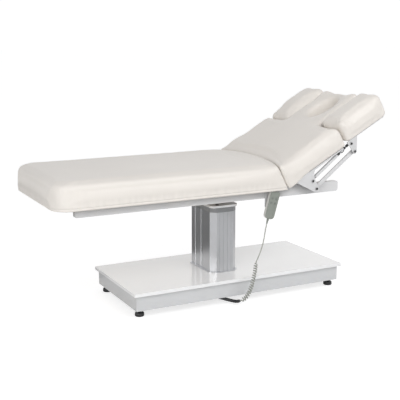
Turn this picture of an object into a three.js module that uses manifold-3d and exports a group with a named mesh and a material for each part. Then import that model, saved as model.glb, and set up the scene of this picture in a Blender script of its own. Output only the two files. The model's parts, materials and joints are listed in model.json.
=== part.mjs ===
// Electric facial treatment bed: box base, telescopic lifting column, lifted frame with a leg
// section, a motorised back section with a face opening, and two drop-down armrests.
// Millimetres. +X points to the head end, +Z up, -Y is the near side, where the handset hangs.
// The origin is on the floor, under the middle of the bed's outline.
import * as THREE from 'three';
import { mergeVertices } from 'three/addons/utils/BufferGeometryUtils.js';
import Module from 'manifold-3d';

const wasm = await Module();
wasm.setup();

// ---- Driving dimensions ----
const GAP = 0.3;
const BASE_X = 90;
const BASE_LENGTH = 1260;
const BASE_WIDTH = 572;
const BASE_TOP = 135;
const TOP_PLATE = 18;
const SKIRT_INSET = 16;
const SKIRT_BOTTOM = 38;
const FOOT_X = 581;
const FOOT_Y = 227;
const COLUMN_X = 53;
const COLUMN_LENGTH = 158;
const COLUMN_WIDTH = 272;
const COLUMN_CHAMFER = 28;
const COLUMN_TOP = 466;
const FLANGE_BOTTOM = 492.3;
const RAIL_BOTTOM = 560;
const RAIL_TOP = 616;
const RAIL_OUTER_Y = 313;
const RAIL_FOOT_X = -846;
const RAIL_HEAD_X = 657;
const BED_FOOT_X = -960;
const BED_HALF_WIDTH = 361;
const BED_TOP = 735;
const HEM_BOTTOM = 597;
const FOOT_CORNER_RADIUS = 91;
const LEG_MAIN_END = 192;
const HINGE_X = 321;
const HINGE_Z = 607;
const HINGE_TUBE_RADIUS = 21;
const HINGE_PIN_RADIUS = 10;
const REST_TILT = THREE.MathUtils.degToRad(28);
const BACK_HEM = 13;
const BACK_TOP = 134;
const BACK_LENGTH = 735;
const NECK_START = 408;
const NECK_HALF_WIDTH = 164;
const FACE_HOLE_X = 573;
const ARM_START = 418;
const ARM_INNER_Y = 172;
const ARM_BOTTOM = 26;
const ARM_TOP = 146;
const LINK_OUTER_Y = 346;
const LINK_Y = 334;
const PIVOT_RADIUS = 5;
const LOWER_PIVOTS = [[141, -43], [143, -94]];
const UPPER_PIVOTS = [[445, 6], [447, -45]];
const ACTUATOR_Y = 180;
const ACTUATOR_ANCHOR = [0, 530];
const LEVER_RADIUS = 85;
const LEVER_ANGLE = THREE.MathUtils.degToRad(-97);
const HANDSET_POS = [222, -330, 524.5];
const HANDSET_LEAN = THREE.MathUtils.degToRad(16);
const HANDSET_SIZE = [56, 24, 148];
const HANDSET_FACE = 5;

const bed = new THREE.Group();

// ---- Helpers ----
function solid(geometry) {
  const plain = geometry.index ? geometry.toNonIndexed() : geometry.clone();
  plain.deleteAttribute('normal');
  plain.deleteAttribute('uv');
  const merged = mergeVertices(plain, 1e-4);
  return new wasm.Manifold(new wasm.Mesh({
    numProp: 3,
    vertProperties: new Float32Array(merged.attributes.position.array),
    triVerts: new Uint32Array(merged.index.array),
  }));
}

function toGeometry(manifold) {
  const mesh = manifold.getMesh();
  const geometry = new THREE.BufferGeometry();
  geometry.setAttribute('position', new THREE.BufferAttribute(mesh.vertProperties, 3));
  geometry.setIndex(new THREE.BufferAttribute(mesh.triVerts, 1));
  geometry.computeVertexNormals();
  return geometry;
}

const join = (...geometries) => toGeometry(geometries.map(solid).reduce((a, b) => a.add(b)));
const cut = (body, ...tools) => (
  toGeometry(tools.map(solid).reduce((a, b) => a.subtract(b), solid(body)))
);

function box(x0, x1, y0, y1, z0, z1) {
  const geometry = new THREE.BoxGeometry(x1 - x0, y1 - y0, z1 - z0);
  return geometry.translate((x0 + x1) / 2, (y0 + y1) / 2, (z0 + z1) / 2);
}

function slab(shape, z0, z1, bevel = 0, segments = 2, arc = 3) {
  const geometry = new THREE.ExtrudeGeometry(shape, {
    depth: z1 - z0 - 2 * bevel,
    bevelEnabled: bevel > 0,
    bevelThickness: bevel,
    bevelSize: bevel,
    bevelOffset: -bevel,
    bevelSegments: segments,
    curveSegments: arc,
  });
  return geometry.translate(0, 0, z0 + bevel);
}

// A side outline drawn in X and Z, given thickness from y0 to y1.
function sidePlate(shape, y0, y1, bevel = 0) {
  return slab(shape, -y1, -y0, bevel).rotateX(Math.PI / 2);
}

function roundedRect(x0, x1, y0, y1, radius) {
  const shape = new THREE.Shape();
  shape.moveTo(x0 + radius, y0);
  shape.lineTo(x1 - radius, y0);
  shape.absarc(x1 - radius, y0 + radius, radius, -Math.PI / 2, 0);
  shape.absarc(x1 - radius, y1 - radius, radius, 0, Math.PI / 2);
  shape.absarc(x0 + radius, y1 - radius, radius, Math.PI / 2, Math.PI);
  shape.absarc(x0 + radius, y0 + radius, radius, Math.PI, Math.PI * 1.5);
  return shape;
}

function polygon(points) {
  return new THREE.Shape(points.map(([x, y]) => new THREE.Vector2(x, y)));
}

// A revolved solid about Z from [radius, height] pairs that start and end on the axis.
function turned(profile, sides = 20) {
  const geometry = new THREE.LatheGeometry(profile.map(([r, z]) => new THREE.Vector2(r, z)), sides);
  return geometry.rotateX(Math.PI / 2);
}

function rod(radius, z0, z1, sides = 16) {
  return turned([[0, z0], [radius, z0], [radius, z1], [0, z1]], sides);
}

// A round bar along Y, centred on (x, z).
function crossRod(radius, x, z, y0, y1, sides = 16) {
  return rod(radius, -y1, -y0, sides).rotateX(Math.PI / 2).translate(x, 0, z);
}

function finish(color, roughness, metalness = 0) {
  return { color, roughness, metalness };
}

const LACQUER = finish(0xeeeef0, 0.15);
const PAINT = finish(0xe4e5e6, 0.35);
const STEEL = finish(0x9a9da0, 0.4, 0.8);
const ALUMINIUM = finish(0xa9abad, 0.35, 0.9);
const DARK = finish(0x1d1e20, 0.6);
const PLYWOOD = finish(0xb79a70, 0.75);
const LEATHERETTE = finish(0xe6e0d8, 0.5);
const HANDSET_GREY = finish(0x8c918a, 0.55);
const SHELL_WHITE = finish(0xdededa, 0.5);

function put(name, geometry, look, parent = bed) {
  const mesh = new THREE.Mesh(geometry, new THREE.MeshStandardMaterial(look));
  mesh.name = name;
  parent.add(mesh);
  return mesh;
}

const SIDES = [['near', -1], ['far', 1]];
const ENDS = [['foot', -1], ['head', 1]];

// ---- Base ----
function makeBase() {
  const halfLength = BASE_LENGTH / 2;
  const halfWidth = BASE_WIDTH / 2;
  const plateBottom = BASE_TOP - TOP_PLATE;
  const plate = roundedRect(-halfLength, halfLength, -halfWidth, halfWidth, 5);
  put('base_top_plate', slab(plate, plateBottom, BASE_TOP, 2).translate(BASE_X, 0, 0), LACQUER);

  const skirtX = halfLength - SKIRT_INSET;
  const skirtY = halfWidth - SKIRT_INSET;
  const wall = 12;
  const skirt = roundedRect(-skirtX, skirtX, -skirtY, skirtY, 4);
  skirt.holes.push(roundedRect(-skirtX + wall, skirtX - wall, -skirtY + wall, skirtY - wall, 2));
  put('base_skirt', slab(skirt, SKIRT_BOTTOM, plateBottom - GAP).translate(BASE_X, 0, 0), LACQUER);

  const tubeTop = plateBottom - GAP;
  const tubeLength = 2 * (skirtY - wall - 1);
  for (const [end, side] of ENDS) {
    const x = BASE_X + side * FOOT_X;
    put(`base_cross_tube_${end}`, squareTube(x, tubeLength, tubeTop - 40, tubeTop, 40), STEEL);
    for (const [edge, sign] of SIDES) {
      const foot = put(`levelling_foot_${edge}_${end}`, levellingFoot(tubeTop - 40 - GAP), DARK);
      foot.position.set(x, sign * FOOT_Y, 0);
    }
  }
}

// A square tube along Y with open ends.
function squareTube(x, length, z0, z1, width, wall = 3) {
  const outline = roundedRect(x - width / 2, x + width / 2, z0, z1, 3);
  outline.holes.push(roundedRect(x - width / 2 + wall, x + width / 2 - wall, z0 + wall, z1 - wall, 1));
  return sidePlate(outline, -length / 2, length / 2);
}

function levellingFoot(top) {
  return turned([
    [0, 0], [22, 0], [24, 2], [24, 16], [21, 21], [9, 24], [6, 26], [6, top - 9],
    [11, top - 9], [11, top], [0, top],
  ]);
}

// ---- Electrics under the base ----
const GLAND_START = [-72, -236, 46];
const GLAND_END = [-8, -256, 24];

function makeElectrics() {
  put('control_box', slab(roundedRect(-290, -80, -252, -150, 6), 40, 116, 1.5), DARK);
  const inlet = box(-312, -290 - GAP, -222, -174, 66, 96);
  put('mains_inlet', cut(inlet, box(-313, -300, -213, -183, 72, 90)), DARK);
  const start = new THREE.Vector3(...GLAND_START);
  const end = new THREE.Vector3(...GLAND_END);
  const length = start.distanceTo(end);
  const relief = put('cord_gland', turned([
    [0, 0], [9, 0], [9, 8], [7.5, 12], [5, length], [0, length],
  ], 16), DARK);
  relief.position.copy(start);
  relief.quaternion.setFromUnitVectors(new THREE.Vector3(0, 0, 1), end.sub(start).normalize());
}

// ---- Lifting column ----
function columnOutline(length, width, chamfer, grooves) {
  const hx = length / 2;
  const hy = width / 2;
  const points = [];
  // Each face is walked corner to corner, dipping into its grooves on the way.
  const face = (from, to, stations) => {
    const along = new THREE.Vector2().subVectors(to, from);
    const size = along.length();
    along.normalize();
    const inward = new THREE.Vector2(-along.y, along.x);
    points.push(from.clone());
    for (const [middle, halfWidth, depth] of stations) {
      const centre = size / 2 + middle;
      for (const [share, dip] of [[-1, 0], [-0.5, depth], [0.5, depth], [1, 0]]) {
        const offset = centre + share * halfWidth;
        points.push(from.clone().addScaledVector(along, offset).addScaledVector(inward, dip));
      }
    }
    points.push(to.clone());
  };
  const v = (x, y) => new THREE.Vector2(x, y);
  face(v(-hx + chamfer, -hy), v(hx - chamfer, -hy), grooves ? grooves.front : []);
  face(v(hx, -hy + chamfer), v(hx, hy - chamfer), grooves ? grooves.side : []);
  face(v(hx - chamfer, hy), v(-hx + chamfer, hy), grooves ? grooves.front : []);
  face(v(-hx, hy - chamfer), v(-hx, -hy + chamfer), grooves ? grooves.side : []);
  return new THREE.Shape(points);
}

function columnTube(length, width, wall, z0, z1, grooves) {
  const chamfer = COLUMN_CHAMFER * (length / COLUMN_LENGTH);
  const outline = columnOutline(length, width, chamfer, grooves);
  outline.holes.push(columnOutline(length - 2 * wall, width - 2 * wall, chamfer - wall * 0.59));
  return slab(outline, z0, z1).translate(COLUMN_X, 0, 0);
}

function makeColumn() {
  const grooves = {
    front: [[-35, 2, 1.5], [-11, 2, 1.5], [14, 2, 1.5], [36, 2, 1.5]],
    side: [[-63, 3, 2], [6, 3, 2]],
  };
  const outer = columnTube(COLUMN_LENGTH, COLUMN_WIDTH, 5, BASE_TOP + GAP, COLUMN_TOP, grooves);
  put('column_outer', outer, ALUMINIUM);
  const ringTop = FLANGE_BOTTOM - GAP;
  put('column_cap_ring', columnTube(COLUMN_LENGTH, COLUMN_WIDTH, 6, COLUMN_TOP + GAP, ringTop), DARK);
  put('column_middle', columnTube(145, 259, 5, 150, ringTop - 3), ALUMINIUM);
  put('column_inner', columnTube(132, 246, 5, 160, ringTop), ALUMINIUM);

  const gearbox = slab(roundedRect(-50, 50, -85, 85, 10), BASE_TOP + GAP, 245);
  put('lift_drive', join(gearbox, rod(13, 240, 470)).translate(COLUMN_X, 0, 0), STEEL);
  const sleeve = [[17, 270], [24, 270], [24, ringTop], [17, ringTop], [17, 270]];
  put('lift_push_tube', turned(sleeve).translate(COLUMN_X, 0, 0), STEEL);

  const flange = roundedRect(COLUMN_X - 83, COLUMN_X + 83, -139, 139, 30);
  put('column_top_flange', slab(flange, FLANGE_BOTTOM, FLANGE_BOTTOM + 12, 1.5), PAINT);
  // The saddle stops short of the back actuator on the far side.
  const saddleBottom = FLANGE_BOTTOM + 12 + GAP;
  const saddle = squareTube(COLUMN_X, 189, saddleBottom, RAIL_BOTTOM, 150, 4).translate(0, 29.5, 0);
  const endPlate = box(COLUMN_X - 73, COLUMN_X + 73, -65, -62, saddleBottom + 2, RAIL_BOTTOM - 2);
  put('column_saddle', join(saddle, endPlate), PAINT);
}

// ---- Lifted frame ----
function makeFrame() {
  const beamEnd = RAIL_OUTER_Y - 30 - GAP;
  for (const [end, side] of ENDS) {
    const x = COLUMN_X + side * 45;
    const beam = squareTube(x, 2 * beamEnd, RAIL_BOTTOM + GAP, RAIL_BOTTOM + 40, 40);
    put(`cross_beam_${end}`, beam, PAINT);
  }
  const outline = roundedRect(RAIL_FOOT_X, RAIL_HEAD_X, RAIL_BOTTOM, RAIL_TOP, 9);
  const pocket = roundedRect(RAIL_FOOT_X + 3, RAIL_HEAD_X - 3, RAIL_BOTTOM + 3, RAIL_TOP - 3, 6);
  for (const [edge, sign] of SIDES) {
    const rail = cut(
      sidePlate(outline, RAIL_OUTER_Y - 30, RAIL_OUTER_Y),
      sidePlate(pocket, RAIL_OUTER_Y - 40, RAIL_OUTER_Y - 3),
    );
    put(`side_rail_${edge}`, mirrored(rail, sign), PAINT);
    const lugInner = RAIL_OUTER_Y - 36;
    const lugOuter = RAIL_OUTER_Y - 30 - GAP;
    const foot = roundedRect(HINGE_X - 45, HINGE_X + 45, RAIL_BOTTOM + 2, HINGE_Z - 17, 12);
    const lug = join(
      sidePlate(foot, lugInner, lugOuter),
      box(HINGE_X - 19, HINGE_X + 19, lugInner, lugOuter, HINGE_Z - 20, HINGE_Z),
      crossRod(19, HINGE_X, HINGE_Z, lugInner, lugOuter, 24),
    );
    const bracket = cut(
      lug,
      crossRod(HINGE_PIN_RADIUS + 0.5, HINGE_X, HINGE_Z, lugInner - 4, lugOuter + 5),
    );
    put(`hinge_bracket_${edge}`, mirrored(bracket, sign), STEEL);
  }
  const stop = crossRod(10, RAIL_HEAD_X - 22, RAIL_BOTTOM + 13, -beamEnd, beamEnd);
  put('back_stop_bar', stop, PAINT);
  const boardOutline = footRounded(BED_FOOT_X + 20, 262, 340, FOOT_CORNER_RADIUS - 20);
  put('leg_board', slab(boardOutline, RAIL_TOP + GAP, RAIL_TOP + 15, 0, 0, 8), PLYWOOD);

  const [anchorX, anchorZ] = ACTUATOR_ANCHOR;
  const clevisTop = RAIL_BOTTOM;
  put('actuator_bracket', join(
    box(anchorX - 16, anchorX + 16, ACTUATOR_Y - 22, ACTUATOR_Y + 22, clevisTop - 4, clevisTop),
    box(anchorX - 16, anchorX + 16, ACTUATOR_Y - 22, ACTUATOR_Y - 18, anchorZ - 14, clevisTop),
    box(anchorX - 16, anchorX + 16, ACTUATOR_Y + 18, ACTUATOR_Y + 22, anchorZ - 14, clevisTop),
    crossRod(PIVOT_RADIUS, anchorX, anchorZ, ACTUATOR_Y - 20, ACTUATOR_Y + 20, 16),
  ), STEEL);
}

// A piece drawn on the far side, turned over to the near side when sign is -1.
function mirrored(geometry, sign) {
  if (sign > 0) {
    return geometry;
  }
  const flipped = geometry.clone().scale(1, -1, 1);
  const plain = flipped.index ? flipped.toNonIndexed() : flipped;
  const p = plain.attributes.position;
  for (let i = 0; i < p.count; i += 3) {
    const a = new THREE.Vector3().fromBufferAttribute(p, i + 1);
    const b = new THREE.Vector3().fromBufferAttribute(p, i + 2);
    p.setXYZ(i + 1, b.x, b.y, b.z);
    p.setXYZ(i + 2, a.x, a.y, a.z);
  }
  plain.deleteAttribute('normal');
  plain.deleteAttribute('uv');
  const merged = mergeVertices(plain, 1e-4);
  merged.computeVertexNormals();
  return merged;
}

// ---- Leg section upholstery ----
function footRounded(x0, x1, halfWidth, radius) {
  const shape = new THREE.Shape();
  shape.moveTo(x1, -halfWidth);
  shape.lineTo(x1, halfWidth);
  shape.lineTo(x0 + radius, halfWidth);
  shape.absarc(x0 + radius, halfWidth - radius, radius, Math.PI / 2, Math.PI);
  shape.absarc(x0 + radius, -halfWidth + radius, radius, Math.PI, Math.PI * 1.5);
  return shape;
}

function makeLegCushion() {
  const radius = FOOT_CORNER_RADIUS;
  const outline = footRounded(BED_FOOT_X, LEG_MAIN_END, BED_HALF_WIDTH, radius);
  const pad = slab(outline, HEM_BOTTOM, BED_TOP, 12, 3, 8);
  const pocket = footRounded(BED_FOOT_X + 18, LEG_MAIN_END + 10, 343, radius - 18);
  const underside = slab(pocket, HEM_BOTTOM - 5, RAIL_TOP + 15 + GAP, 0, 0, 8);
  put('leg_cushion', cut(pad, underside), LEATHERETTE);
  const fold = polygon([
    [LEG_MAIN_END + GAP, RAIL_TOP + 16], [HINGE_X - 20, RAIL_TOP + 16],
    [HINGE_X - 91, BED_TOP - 8], [LEG_MAIN_END + GAP, BED_TOP - 2],
  ]);
  put('leg_cushion_fold', sidePlate(fold, -BED_HALF_WIDTH + 3, BED_HALF_WIDTH - 3), LEATHERETTE);
}

// ---- Back section, drawn flat: X along it from the hinge, Z square to it ----
const back = new THREE.Group();
back.position.set(HINGE_X, 0, HINGE_Z);
back.rotation.y = -REST_TILT;
bed.add(back);

function backOutline(start, end, halfWidth, neck, neckHalfWidth, corner) {
  const shape = new THREE.Shape();
  const fillet = 24;
  shape.moveTo(start, -halfWidth);
  shape.lineTo(neck - corner, -halfWidth);
  shape.absarc(neck - corner, -halfWidth + corner, corner, -Math.PI / 2, 0);
  shape.lineTo(neck, -neckHalfWidth - fillet);
  shape.absarc(neck + fillet, -neckHalfWidth - fillet, fillet, Math.PI, Math.PI / 2, true);
  shape.lineTo(end - corner, -neckHalfWidth);
  shape.absarc(end - corner, -neckHalfWidth + corner, corner, -Math.PI / 2, 0);
  shape.absarc(end - corner, neckHalfWidth - corner, corner, 0, Math.PI / 2);
  shape.lineTo(neck + fillet, neckHalfWidth);
  shape.absarc(neck + fillet, neckHalfWidth + fillet, fillet, -Math.PI / 2, Math.PI, true);
  shape.lineTo(neck, halfWidth - corner);
  shape.absarc(neck - corner, halfWidth - corner, corner, 0, Math.PI / 2);
  shape.lineTo(start, halfWidth);
  return shape;
}

function ovalPath(halfLength, halfWidth) {
  const path = new THREE.Shape();
  path.absellipse(FACE_HOLE_X, 0, halfLength, halfWidth, 0, Math.PI * 2, false);
  return path;
}

function ovalPlug(halfLength, halfWidth, z0, z1) {
  const plug = new THREE.ExtrudeGeometry(ovalPath(halfLength, halfWidth), {
    depth: z1 - z0,
    bevelEnabled: false,
    curveSegments: 28,
  });
  return plug.translate(0, 0, z0);
}

function makeBack() {
  const boardTop = BACK_HEM + 13;
  put('back_hinge_tube', join(
    crossRod(HINGE_TUBE_RADIUS, 0, 0, -239, 239),
    crossRod(HINGE_PIN_RADIUS, 0, 0, -282, 282),
  ), STEEL, back);
  for (const [edge, sign] of SIDES) {
    const rail = cut(
      box(4, 712, 118, 150, -20, BACK_HEM - GAP),
      box(30, 720, 121, 147, -17, BACK_HEM - 3),
      crossRod(HINGE_TUBE_RADIUS + GAP, 0, 0, 100, 160),
    );
    put(`back_rail_${edge}`, mirrored(rail, sign), PAINT, back);
    put(`linkage_plate_${edge}`, mirrored(linkagePlate(), sign), PAINT, back);
  }
  const board = slab(backOutline(22, 716, 340, 388, 146, 12), BACK_HEM, boardTop);
  put('back_board', cut(board, ovalPlug(108, 78, 0, 60)), PLYWOOD, back);
  const padOutline = backOutline(2, BACK_LENGTH, BED_HALF_WIDTH, NECK_START, NECK_HALF_WIDTH, 26);
  const pad = slab(padOutline, BACK_HEM, BACK_TOP, 10, 3, 6);
  const underside = slab(backOutline(-30, 719, 343, 391, 149, 12), -10, boardTop + GAP);
  put('back_cushion', cut(pad, underside, ovalPlug(100, 70, -20, 200)), LEATHERETTE, back);

  const tip = [LEVER_RADIUS * Math.cos(LEVER_ANGLE), LEVER_RADIUS * Math.sin(LEVER_ANGLE)];
  const leverInner = ACTUATOR_Y - 8;
  const leverOuter = ACTUATOR_Y - 1;
  const arm = polygon([[-14, 0], [tip[0] - 10, tip[1]], [tip[0] + 10, tip[1]], [14, 0]]);
  const lever = join(
    crossRod(28, 0, 0, leverInner, leverOuter),
    crossRod(11, ...tip, leverInner, leverOuter),
    sidePlate(arm, leverInner, leverOuter),
  );
  put('actuator_lever', cut(
    lever,
    crossRod(HINGE_TUBE_RADIUS + GAP, 0, 0, leverInner - 2, leverOuter + 3),
    box(-40, 40, leverInner - 2, leverOuter + 3, BACK_HEM - 1, 40),
  ), STEEL, back);
}

// A pivot stud with its domed head on the outer face of a linkage plate.
function stud([x, z]) {
  return join(
    crossRod(PIVOT_RADIUS, x, z, LINK_Y - 7, LINK_OUTER_Y + 2, 16),
    crossRod(7.5, x, z, LINK_OUTER_Y + 3, LINK_OUTER_Y + 8, 16),
  );
}

function linkagePlate() {
  const side = polygon([
    [58, 12.5], [58, -8], [112, -84], [126, -104], [146, -111], [158, -104],
    [160, -90], [158, -40], [166, -14], [178, 2], [390, 6], [390, 12.5],
  ]);
  return join(
    sidePlate(side, LINK_OUTER_Y, LINK_OUTER_Y + 4),
    box(58, 385, 290, LINK_OUTER_Y + 2, BACK_HEM - 3.5, BACK_HEM - 0.5),
    stud(LOWER_PIVOTS[0]),
    stud(LOWER_PIVOTS[1]),
  );
}

// ---- Armrests: each stays parallel to the back section as its two links swing ----
function linkBar(from, to, halfHeight, thickness, eye) {
  const dx = to[0] - from[0];
  const dz = to[1] - from[1];
  const length = Math.hypot(dx, dz);
  const bar = join(
    box(0, length, LINK_Y - thickness, LINK_Y + thickness, -halfHeight, halfHeight),
    crossRod(eye, 0, 0, LINK_Y - thickness, LINK_Y + thickness),
    crossRod(eye, length, 0, LINK_Y - thickness, LINK_Y + thickness),
  );
  const bored = cut(
    bar,
    crossRod(PIVOT_RADIUS + GAP, 0, 0, LINK_Y - 20, LINK_Y + 20, 16),
    crossRod(PIVOT_RADIUS + GAP, length, 0, LINK_Y - 20, LINK_Y + 20, 16),
  );
  return bored.rotateY(-Math.atan2(dz, dx)).translate(from[0], 0, from[1]);
}

function gasStrut(from, to) {
  const dx = to[0] - from[0];
  const dz = to[1] - from[1];
  const length = Math.hypot(dx, dz);
  const alongX = (geometry) => geometry.rotateY(Math.PI / 2).translate(0, LINK_Y, 0);
  const strut = join(
    alongX(rod(8, 18, 208)),
    alongX(rod(4, 200, length - 14)),
    box(0, 20, LINK_Y - 5, LINK_Y + 5, -7, 7),
    box(length - 34, length, LINK_Y - 5, LINK_Y + 5, -7, 7),
    crossRod(9, 0, 0, LINK_Y - 5, LINK_Y + 5),
    crossRod(9, length, 0, LINK_Y - 5, LINK_Y + 5),
  );
  const bored = cut(
    strut,
    crossRod(PIVOT_RADIUS + GAP, 0, 0, LINK_Y - 20, LINK_Y + 20, 16),
    crossRod(PIVOT_RADIUS + GAP, length, 0, LINK_Y - 20, LINK_Y + 20, 16),
  );
  return bored.rotateY(-Math.atan2(dz, dx)).translate(from[0], 0, from[1]);
}

function armBracket() {
  const side = polygon([
    [424, ARM_BOTTOM - GAP], [426, 8], [431, -4], [435, -54], [447, -60], [459, -54],
    [493, 14], [497, ARM_BOTTOM - GAP],
  ]);
  return join(
    sidePlate(side, LINK_OUTER_Y, LINK_OUTER_Y + 4),
    box(442, 700, 196, LINK_OUTER_Y + 2, ARM_BOTTOM - 3.3, ARM_BOTTOM - GAP),
    stud(UPPER_PIVOTS[0]),
    stud(UPPER_PIVOTS[1]),
  );
}

function makeArmrests() {
  for (const [edge, sign] of SIDES) {
    const strut = gasStrut(LOWER_PIVOTS[0], UPPER_PIVOTS[0]);
    put(`arm_gas_strut_${edge}`, mirrored(strut, sign), STEEL, back);
    const link = linkBar(LOWER_PIVOTS[1], UPPER_PIVOTS[1], 11, 3.5, 12);
    put(`arm_link_${edge}`, mirrored(link, sign), PAINT, back);
    put(`arm_bracket_${edge}`, mirrored(armBracket(), sign), PAINT, back);
    const outline = roundedRect(ARM_START, BACK_LENGTH + 2, ARM_INNER_Y, BED_HALF_WIDTH, 28);
    const pad = slab(outline, ARM_BOTTOM, ARM_TOP, 10, 3, 6);
    put(`armrest_cushion_${edge}`, mirrored(pad, sign), LEATHERETTE, back);
  }
}

// ---- Back actuator ----
function makeActuator() {
  const [anchorX, anchorZ] = ACTUATOR_ANCHOR;
  const leverAngle = LEVER_ANGLE + REST_TILT;
  const tipX = HINGE_X + LEVER_RADIUS * Math.cos(leverAngle);
  const tipZ = HINGE_Z + LEVER_RADIUS * Math.sin(leverAngle);
  const reach = Math.hypot(tipX - anchorX, tipZ - anchorZ);
  const actuator = new THREE.Group();
  actuator.position.set(anchorX, ACTUATOR_Y, anchorZ);
  actuator.rotation.y = -Math.atan2(tipZ - anchorZ, tipX - anchorX);
  bed.add(actuator);
  const alongX = (geometry) => geometry.rotateY(Math.PI / 2);
  const housing = join(
    alongX(rod(17, 40, 262)),
    box(14, 92, -16, 16, -20, 20),
    slab(roundedRect(30, 88, -48, -10, 6), -19, 19),
    box(0, 20, -8, 8, -11, 11),
    crossRod(11, 0, 0, -8, 8),
  );
  put('back_actuator_housing', cut(
    housing,
    alongX(rod(8.6, 96, 270)),
    crossRod(PIVOT_RADIUS + GAP, 0, 0, -12, 12, 16),
  ), DARK, actuator);
  put('back_actuator_rod', join(
    alongX(rod(8, 150, reach - 34)),
    box(reach - 40, reach + 2, 0.5, 6.5, -8, 8),
    crossRod(10, reach, 0, 0.5, 6.5),
    crossRod(PIVOT_RADIUS, reach, 0, 0.5, 12, 16),
  ), STEEL, actuator);
}

// ---- Handset ----
const BUTTONS = [
  ['button_bed_up', -12, 36],
  ['button_back_up', 12, 36],
  ['button_bed_down', -12, 12],
  ['button_back_down', 12, 12],
];

function handsetOutline(halfWidth, halfHeight, lowRadius, highRadius) {
  const shape = new THREE.Shape();
  shape.moveTo(-halfWidth + lowRadius, -halfHeight);
  shape.lineTo(halfWidth - lowRadius, -halfHeight);
  shape.absarc(halfWidth - lowRadius, -halfHeight + lowRadius, lowRadius, -Math.PI / 2, 0);
  shape.absarc(halfWidth - highRadius, halfHeight - highRadius, highRadius, 0, Math.PI / 2);
  shape.absarc(-halfWidth + highRadius, halfHeight - highRadius, highRadius, Math.PI / 2, Math.PI);
  shape.absarc(-halfWidth + lowRadius, -halfHeight + lowRadius, lowRadius, Math.PI, Math.PI * 1.5);
  return shape;
}

function makeHandset() {
  const handset = new THREE.Group();
  handset.position.set(...HANDSET_POS);
  handset.rotation.y = HANDSET_LEAN;
  bed.add(handset);
  const [width, depth, height] = HANDSET_SIZE;
  const outline = handsetOutline(width / 2, height / 2, 21, 7);
  const front = sidePlate(outline, -depth / 2, -depth / 2 + HANDSET_FACE, 2);
  const pockets = BUTTONS.map(([, x, z]) => crossRod(6.2, x, z, -depth / 2 - 1, -depth / 2 + 4));
  put('handset_front', cut(front, ...pockets), HANDSET_GREY, handset);
  const rear = sidePlate(outline, -depth / 2 + HANDSET_FACE + GAP, depth / 2 - 1, 2);
  put('handset_back', rear, SHELL_WHITE, handset);
  for (const [name, x, z] of BUTTONS) {
    put(name, crossRod(5.8, x, z, -depth / 2 - 1.2, -depth / 2 + 2.6, 16), DARK, handset);
  }
  const relief = turned([
    [0, -height / 2 - 26], [4, -height / 2 - 26], [6.5, -height / 2 - 3], [6.5, -height / 2 - GAP],
    [0, -height / 2 - GAP],
  ], 16);
  put('handset_relief', relief, HANDSET_GREY, handset);

  const hangerY = -RAIL_OUTER_Y - GAP;
  const hanger = join(
    sidePlate(roundedRect(190, 250, 512, 606, 6), hangerY - 2, hangerY),
    crossRod(5, 205, 560, hangerY - 4, hangerY - 1, 16),
    crossRod(5, 233, 560, hangerY - 4, hangerY - 1, 16),
  );
  put('handset_hanger', hanger, PAINT);
}

// ---- Handset cord ----
const CORD_DIAMETER = 6;
const COIL_DIAMETER = 20;
const CORD_STRAIGHT = [
  [192.8, -330, 422], [189.5, -331, 409], [184.5, -334, 394], [177, -338, 366], [169, -341, 336],
  [160, -342, 308], [151, -342, 283], [141, -342, 261], [132, -342, 244], [127, -342, 234],
];
const CORD_COIL = [
  [126.6, -342, 233], [122, -342, 206], [118, -342, 175], [110, -342, 142], [99, -342, 102],
  [83, -342, 67], [66, -342, 50],
];
const CORD_TAIL = [
  [64.5, -342, 48.5], [56, -331, 33], [46, -313, 21], [34, -293, 16], [21, -275, 16],
  [7, -262, 18.8], [-6.8, -256.4, 23.5],
];

function cordTube(points, diameter, sides, steps) {
  const curve = new THREE.CatmullRomCurve3(points.map((p) => new THREE.Vector3(...p)));
  const section = new THREE.Shape();
  section.absarc(0, 0, diameter / 2, 0, Math.PI * 2);
  const outline = new THREE.Shape(section.getSpacedPoints(sides).slice(0, sides));
  return new THREE.ExtrudeGeometry(outline, { steps, extrudePath: curve, bevelEnabled: false });
}

function makeCord() {
  put('handset_cord_straight', cordTube(CORD_STRAIGHT, CORD_DIAMETER, 8, 20), HANDSET_GREY);
  put('handset_cord_coil', cordTube(CORD_COIL, COIL_DIAMETER, 12, 16), HANDSET_GREY);
  put('handset_cord_tail', cordTube(CORD_TAIL, CORD_DIAMETER, 8, 12), HANDSET_GREY);
}

makeBase();
makeElectrics();
makeColumn();
makeFrame();
makeLegCushion();
makeBack();
makeArmrests();
makeActuator();
makeHandset();
makeCord();

export default bed;
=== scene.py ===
import json
import math

import bmesh
import bpy
import numpy as np
from mathutils import Matrix, Vector, noise


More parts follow.
